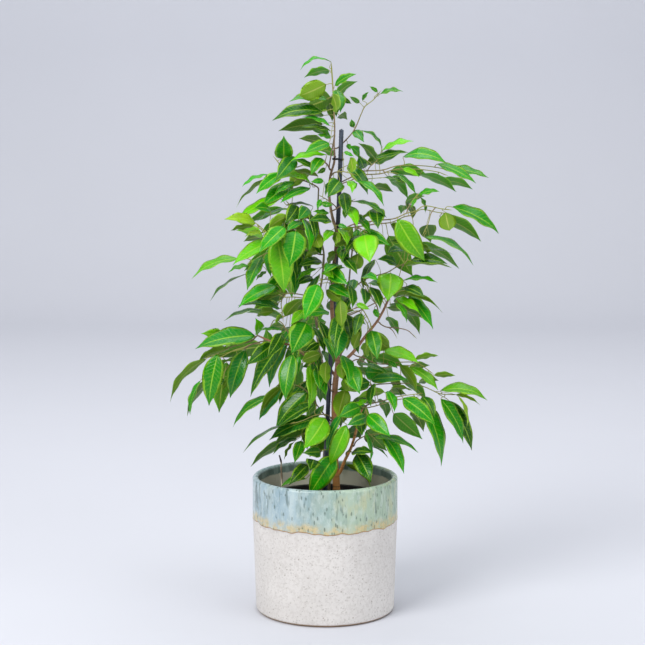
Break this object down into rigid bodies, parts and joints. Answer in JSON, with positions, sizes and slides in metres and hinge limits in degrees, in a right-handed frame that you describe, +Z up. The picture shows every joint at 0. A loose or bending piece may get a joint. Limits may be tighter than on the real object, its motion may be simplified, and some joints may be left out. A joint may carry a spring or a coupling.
{
  "type": "potted weeping fig tree",
  "caption": "Young weeping fig with slender bare stems, tied to a thin stake, in a dark growing pot standing inside a round glazed stoneware cover pot.",
  "frame": {"origin": "centre of the flat foot the pot rests on", "axes": "+Z up, -Y towards the viewer's side of the plant, +X to the viewer's right"},
  "size_m": [0.3672, 0.2537, 0.6245],
  "materials": {
    "glazed_stoneware": "satin",
    "black_plastic": "matte",
    "potting_soil": "loose and matte",
    "stake_plastic": "satin",
    "dry_wood": "dry and matte",
    "fig_bark": "matte bark",
    "young_bark": "matte bark",
    "fig_leaf": "glossy living leaf"
  },
  "bodies": {
    "root": {"cover_pot": "glazed_stoneware", "growing_pot": "black_plastic", "soil": "potting_soil", "stake": "stake_plastic", "stake_tie": "black_plastic", "dry_twig": "dry_wood", "trunk": "fig_bark", "stem_left": "young_bark", "stem_right": "young_bark", "shoot_back_centre_27": "fig_leaf", "shoot_back_centre_33": "fig_leaf", "shoot_back_centre_37": "fig_leaf", "shoot_back_left_22": "fig_leaf", "shoot_back_left_30": "fig_leaf", "shoot_back_left_33": "fig_leaf", "shoot_back_left_36": "fig_leaf", "shoot_back_left_43": "fig_leaf", "shoot_back_left_45": "fig_leaf", "shoot_back_right_24": "fig_leaf", "shoot_back_right_28": "fig_leaf", "shoot_back_right_36": "fig_leaf", "shoot_back_right_high": "fig_leaf", "shoot_back_right_mid": "fig_leaf", "shoot_back_top": "fig_leaf", "shoot_centre_26": "fig_leaf", "shoot_centre_33": "fig_leaf", "shoot_centre_37": "fig_leaf", "shoot_centre_39": "fig_leaf", "shoot_centre_43": "fig_leaf", "shoot_centre_left_33": "fig_leaf", "shoot_centre_right_high": "fig_leaf", "shoot_crown_tip": "fig_leaf", "shoot_left_20": "fig_leaf", "shoot_left_22": "fig_leaf", "shoot_left_25": "fig_leaf", "shoot_left_27": "fig_leaf", "shoot_left_29": "fig_leaf", "shoot_left_30": "fig_leaf", "shoot_left_32": "fig_leaf", "shoot_left_36": "fig_leaf", "shoot_left_41": "fig_leaf", "shoot_left_43": "fig_leaf", "shoot_left_45": "fig_leaf", "shoot_left_48": "fig_leaf", "shoot_left_51": "fig_leaf", "shoot_low_front": "fig_leaf", "shoot_low_right": "fig_leaf", "shoot_low_right_front": "fig_leaf", "shoot_right_24": "fig_leaf", "shoot_right_26": "fig_leaf", "shoot_right_28": "fig_leaf", "shoot_right_35": "fig_leaf", "shoot_right_36": "fig_leaf", "shoot_right_39": "fig_leaf", "shoot_right_bare": "fig_leaf", "shoot_right_high": "fig_leaf", "shoot_right_high_front": "fig_leaf", "shoot_right_mid": "fig_leaf", "shoot_right_mid_up": "fig_leaf", "shoot_right_top": "fig_leaf"}
  },
  "joints": []
}
